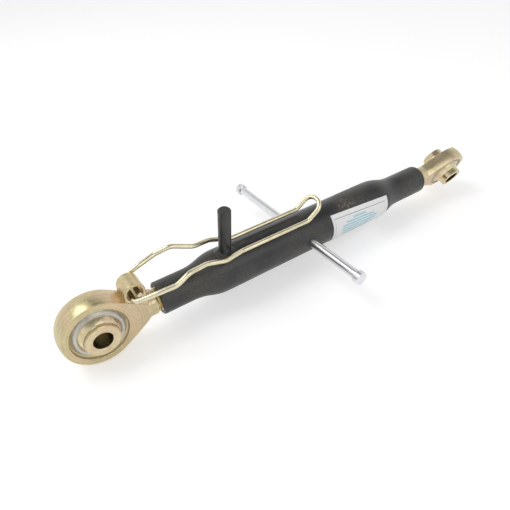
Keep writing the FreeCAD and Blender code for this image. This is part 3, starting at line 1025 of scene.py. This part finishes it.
@dataclass
class RippledWeld:
    """Fillet weld round the post's foot, laid in overlapping ripples."""

    name: str = "post_bead"
    node: str = "post_weld"
    body: str = "tube_body"
    post_x: float = 149.5
    post_r: float = 7.0
    lean: float = 9.0
    tube_r: float = 25.0
    leg: float = 5.0
    rise: float = 4.6
    ripples: float = 15.0
    ripple_rise: float = 0.55
    sink: float = 0.15
    around: int = 180
    rows: int = 16

    def tree(self) -> bpy.types.NodeTree:
        """Node tree of the bead about an upright post at the origin.

        Returns:
            The tree with named inputs.
        """
        skin = SkinTree("weld_ripples", ("Post", "Leg", "Rise", "Tube", "Ripples", "Ripple Rise",
                                         "Sink"))
        maths = skin.sheet.maths
        size = skin.size
        share = maths("DIVIDE", skin.row, maths("SUBTRACT", size["Rows"], 2.0))
        under = maths("GREATER_THAN", share, 1.02)
        seam = maths("MAXIMUM", under, maths("GREATER_THAN", skin.turn, 2.0))
        share = maths("MINIMUM", share, 1.0)
        wander = maths("MULTIPLY", maths("SINE", maths("ADD", maths("MULTIPLY", skin.angle, 3.0),
                                                       0.9)), 0.45)
        second = maths("MULTIPLY", maths("SINE", maths("ADD", maths("MULTIPLY", skin.angle, 7.0),
                                                       2.1)), 0.22)
        leg = maths("ADD", size["Leg"], maths("ADD", wander, second))
        lag = maths("MULTIPLY", maths("SUBTRACT", share, 0.5), 1.6)
        beat = maths("MULTIPLY", maths("MULTIPLY", skin.angle, 0.5), size["Ripples"])
        beat = maths("ABSOLUTE", maths("SINE", maths("ADD", beat, maths("MULTIPLY", lag, lag))))
        bulge = maths("SINE", maths("MULTIPLY", share, math.pi))
        ripple = maths("MULTIPLY", maths("MULTIPLY", beat, bulge), size["Ripple Rise"])
        out = maths("MULTIPLY", maths("SUBTRACT", 1.0, share), leg)
        radius = maths("ADD", maths("ADD", size["Post"], out), maths("MULTIPLY", ripple, 0.6))
        radius = maths("SUBTRACT", radius, maths("MULTIPLY", under, size["Sink"]))
        x = maths("MULTIPLY", radius, maths("COSINE", skin.angle))
        y = maths("MULTIPLY", radius, maths("SINE", skin.angle))
        across = maths("SUBTRACT", maths("MULTIPLY", size["Tube"], size["Tube"]),
                       maths("MULTIPLY", y, y))
        ground = maths("SUBTRACT", maths("SQRT", across), size["Sink"])
        hollow = maths("MULTIPLY", maths("POWER", share, 1.35), size["Rise"])
        up = maths("MULTIPLY", maths("ADD", hollow, ripple), maths("SUBTRACT", 1.0, seam))
        return skin.close(x, y, maths("ADD", ground, up))

    def build(self, material: bpy.types.Material) -> bpy.types.Object:
        """Build the bead and let it stand for the plain solid.

        Args:
            material: Paint of the tube.

        Returns:
            The closed bead.
        """
        bead = grown(self.name, self.tree(), {
            "Post": self.post_r, "Leg": self.leg, "Rise": self.rise, "Tube": self.tube_r,
            "Ripples": self.ripples, "Ripple Rise": self.ripple_rise, "Sink": self.sink,
            "Columns": self.around, "Rows": self.rows, "Material": material})
        bead.data.transform(Matrix.Rotation(math.radians(self.lean), 4, "X"))
        bead.data.transform(Matrix.Translation((self.post_x * MM, 0, 0)))
        self.join_ends(bead)
        bead.data.shade_smooth()
        return bead

    def join_ends(self, bead: bpy.types.Object) -> None:
        """Close the underside between the bead's inner and outer rims."""
        work = bmesh.new()
        work.from_mesh(bead.data)
        rims = [edge for edge in work.edges if edge.is_boundary]
        bmesh.ops.bridge_loops(work, edges=rims)
        bmesh.ops.recalc_face_normals(work, faces=work.faces)
        work.to_mesh(bead.data)
        work.free()


@dataclass
class Studio:
    """Pale floor, soft light and the camera."""

    focal: float = 32.667
    eye: tuple[float, float, float] = (-0.029263, -0.355367, 0.334565)
    right: tuple[float, float, float] = (0.826873, -0.559878, -0.053077)
    up: tuple[float, float, float] = (0.386806, 0.497669, 0.776342)
    floor_z: float = -0.0395
    floor_glow: float = 0.34

    def camera(self) -> None:
        """Set the camera up."""
        data = bpy.data.cameras.new("camera")
        data.lens = self.focal
        data.sensor_width = 36.0
        data.clip_start = 0.01
        made = bpy.data.objects.new("camera", data)
        right = Vector(self.right).normalized()
        back = right.cross(Vector(self.up)).normalized()
        up = back.cross(right)
        turn = Matrix((right, up, back)).transposed().to_4x4()
        made.matrix_world = Matrix.Translation(self.eye) @ turn
        bpy.context.scene.collection.objects.link(made)
        bpy.context.scene.camera = made

    def floor(self) -> None:
        """Lay the floor."""
        reach = 6.0
        corners = [(-reach, -reach, self.floor_z), (reach, -reach, self.floor_z),
                   (reach, reach, self.floor_z), (-reach, reach, self.floor_z)]
        made = mesh_object("floor", corners, [(0, 1, 2, 3)])
        material = bpy.data.materials.new("pale_floor")
        material.use_nodes = True
        tree = material.node_tree
        tree.nodes.clear()
        sheet = NodeSheet(tree)
        matte = sheet.add("ShaderNodeBsdfDiffuse")
        matte.inputs["Color"].default_value = (0.80, 0.80, 0.80, 1.0)
        glow = sheet.add("ShaderNodeEmission")
        rays = sheet.add("ShaderNodeLightPath")
        seen = sheet.maths("MAXIMUM", rays.outputs["Is Camera Ray"],
                           sheet.maths("MAXIMUM", rays.outputs["Is Glossy Ray"],
                                       rays.outputs["Is Transmission Ray"]))
        sheet.join(sheet.maths("MULTIPLY", seen, self.floor_glow), glow.inputs["Strength"])
        both = sheet.add("ShaderNodeAddShader")
        sheet.join(matte.outputs[0], both.inputs[0])
        sheet.join(glow.outputs[0], both.inputs[1])
        output = sheet.add("ShaderNodeOutputMaterial")
        sheet.join(both.outputs[0], output.inputs["Surface"])
        dress(made, material)
        made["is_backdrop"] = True

    def lamp(self, name: str, place: Sequence[float], size: float, power: float) -> None:
        """Hang one soft lamp that points at the link's middle.

        Args:
            name: Name of the lamp.
            place: Where it hangs, in metres.
            size: Width of the lamp.
            power: Its power in watts.
        """
        data = bpy.data.lights.new(name, "AREA")
        data.shape = "SQUARE"
        data.size = size
        data.energy = power
        made = bpy.data.objects.new(name, data)
        made.location = place
        aim = Vector((0.25, 0.0, 0.0)) - Vector(place)
        made.rotation_euler = aim.to_track_quat("-Z", "Y").to_euler()
        bpy.context.scene.collection.objects.link(made)

    def world(self) -> None:
        """White surroundings."""
        world = bpy.data.worlds.new("studio")
        world.use_nodes = True
        sheet = NodeSheet(world.node_tree)
        world.node_tree.nodes.clear()
        place = sheet.add("ShaderNodeTexCoord").outputs["Generated"]
        parts = sheet.add("ShaderNodeSeparateXYZ")
        sheet.join(place, parts.inputs[0])
        height = sheet.smooth(parts.outputs["Z"], 0.45, 0.95)
        soft = sheet.add("ShaderNodeBackground")
        sheet.join(sheet.blend(height, (1.0, 1.0, 1.0), (0.30, 0.30, 0.31)), soft.inputs["Color"])
        soft.inputs["Strength"].default_value = 1.0
        output = sheet.add("ShaderNodeOutputWorld")
        sheet.join(soft.outputs[0], output.inputs["Surface"])
        bpy.context.scene.world = world

    def build(self) -> None:
        """Set the whole studio up."""
        self.world()
        self.camera()
        self.floor()
        self.lamp("key", (-0.5, 0.55, 1.5), 0.9, 9.0)
        self.lamp("fill", (0.5, -1.3, 1.2), 1.2, 4.0)
        view = bpy.context.scene.view_settings
        view.view_transform = "Standard"



# ---------------------------------------------------------------- the solids' own finishes
@dataclass(frozen=True)
class Finishes:
    """All the finishes of the link."""

    forging: ZincFinish
    rear_forging: ZincFinish
    thread: ZincFinish
    ball: ZincFinish
    rear_ball: ZincFinish
    seat: ZincFinish
    rear_seat: ZincFinish
    wire: ZincFinish
    paint: PaintFinish
    chrome: ChromeFinish
    film: LabelFinish


REAR_BORE = next(mount for mount in frame["record"]["mounts"] if mount["name"] == "rear_pin_bore")
REAR_CENTRE = tuple(REAR_BORE["pos_m"])
REAR_TURN = (-math.atan2(REAR_BORE["axis"][2], REAR_BORE["axis"][1]), 0.0, 0.0)
GOLD = (0.66, 0.53, 0.30)
PALE_GOLD = (0.80, 0.69, 0.46)
GREEN_GOLD = (0.46, 0.46, 0.25)
PINK_GOLD = (0.76, 0.52, 0.41)

FINISHES = Finishes(
    forging=ZincFinish("yellow_zinc", GOLD, GREEN_GOLD, PALE_GOLD, 0.34, lay=Lay.AROUND_BORE,
                       blush=PINK_GOLD, grain_depth=0.000022),
    rear_forging=ZincFinish("yellow_zinc_rear", PALE_GOLD, GREEN_GOLD, GOLD, 0.34,
                            lay=Lay.AROUND_BORE, centre=REAR_CENTRE, turn=REAR_TURN,
                            blush=PINK_GOLD, grain_depth=0.000022),
    thread=ZincFinish("zinc_screw", (0.64, 0.50, 0.26), GREEN_GOLD, PALE_GOLD, 0.30),
    ball=ZincFinish("ball_zinc", PALE_GOLD, GOLD, GREEN_GOLD, 0.24, lay=Lay.AROUND_BORE,
                    blush=PINK_GOLD, grain_depth=0.000008, speckle=0.16, bore=0.0098),
    rear_ball=ZincFinish("ball_zinc_rear", PALE_GOLD, GREEN_GOLD, GOLD, 0.24,
                         lay=Lay.AROUND_BORE, centre=REAR_CENTRE, turn=REAR_TURN,
                         blush=PINK_GOLD, grain_depth=0.000008, speckle=0.16, bore=0.0098),
    seat=ZincFinish("seat_steel", (0.56, 0.56, 0.53), (0.42, 0.43, 0.42), (0.74, 0.72, 0.66), 0.36,
                    lay=Lay.AROUND_BORE, grain_depth=0.000012),
    rear_seat=ZincFinish("seat_steel_rear", (0.56, 0.56, 0.53), (0.42, 0.43, 0.42),
                         (0.74, 0.72, 0.66), 0.36, lay=Lay.AROUND_BORE, centre=REAR_CENTRE,
                         turn=REAR_TURN, grain_depth=0.000012),
    wire=ZincFinish("wire_zinc", (0.82, 0.74, 0.50), (0.62, 0.56, 0.36), (0.90, 0.86, 0.70), 0.20,
                    lay=Lay.ALONG_LINK, grain_depth=0.000012, patch_scale=120.0),
    paint=PaintFinish(),
    chrome=ChromeFinish(),
    film=LabelFinish())


class TopLink:
    """The whole link: finishes for its solids, and the pieces that stand for some of them."""

    solids: dict[str, tuple[str, ...]] = {
        "forging": ("front_eye",), "rear_forging": ("rear_eye",),
        "ball": ("front_ball",), "rear_ball": ("rear_ball",),
        "seat": ("front_seat_near", "front_seat_far"),
        "rear_seat": ("rear_seat_near", "rear_seat_far"),
        "wire": ("lock_clip",), "paint": ("tube", "stop_post"),
        "chrome": ("tommy_bar", "bar_knob_near", "bar_knob_far")}

    def __init__(self) -> None:
        """Build every finish once."""
        effects = SharedEffects()
        self.made = {name: getattr(FINISHES, name).build(effects)
                     for name in FINISHES.__dataclass_fields__}

    def dress_solids(self) -> None:
        """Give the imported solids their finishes."""
        for name, nodes in self.solids.items():
            for node in nodes:
                piece = frame["nodes"][node]
                if not piece.material_slots:
                    piece.data.materials.append(self.made[name])
                for place in piece.material_slots:
                    place.material = self.made[name]
                LOG.info("dressed %s in %s", node, self.made[name].name)

    def add_screws(self) -> None:
        """Put the cut threads in place of the plain screws."""
        front = ThreadedScrew("front_thread", "front_screw", "front_end", Hand.RIGHT, False)
        rear = ThreadedScrew("rear_thread", "rear_screw", "rear_rod", Hand.LEFT, True)
        for screw in (front, rear):
            self.settle(screw.build(self.made["thread"]), screw.node, screw.body)

    def add_weld(self) -> None:
        """Put the rippled bead in place of the plain one."""
        weld = RippledWeld()
        self.settle(weld.build(self.made["paint"]), weld.node, weld.body)

    def add_label(self) -> None:
        """Put the printed film in place of the plain one."""
        label = LabelSheet()
        self.settle(label.build(self.made["film"]), label.node, label.body)

    def settle(self, piece: bpy.types.Object, node: str, body: str) -> None:
        """Let a piece ride on its body and stand for its solid.

        Args:
            piece: The finished piece.
            node: The solid that it stands for.
            body: The body that it rides on.
        """
        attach(piece, body)
        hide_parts(node)
        LOG.info("built %s with %d faces on %s", piece.name, len(piece.data.polygons), body)


def corners(box: Sequence[Vector]) -> list[list[float]]:
    """A box as plain lists of numbers."""
    return [[float(value) for value in corner] for corner in box]


def main() -> None:
    """Build the studio and the link in order, and work out its bounds before and after."""
    logging.basicConfig(level=logging.INFO, format="%(name)s: %(message)s")
    before = corners(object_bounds())
    studio = Studio()
    studio.build()
    LOG.info("studio ready")
    link = TopLink()
    link.dress_solids()
    link.add_screws()
    link.add_weld()
    link.add_label()
    {"cad": before, "visual": corners(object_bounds())}


if __name__ == "__main__":
    main()
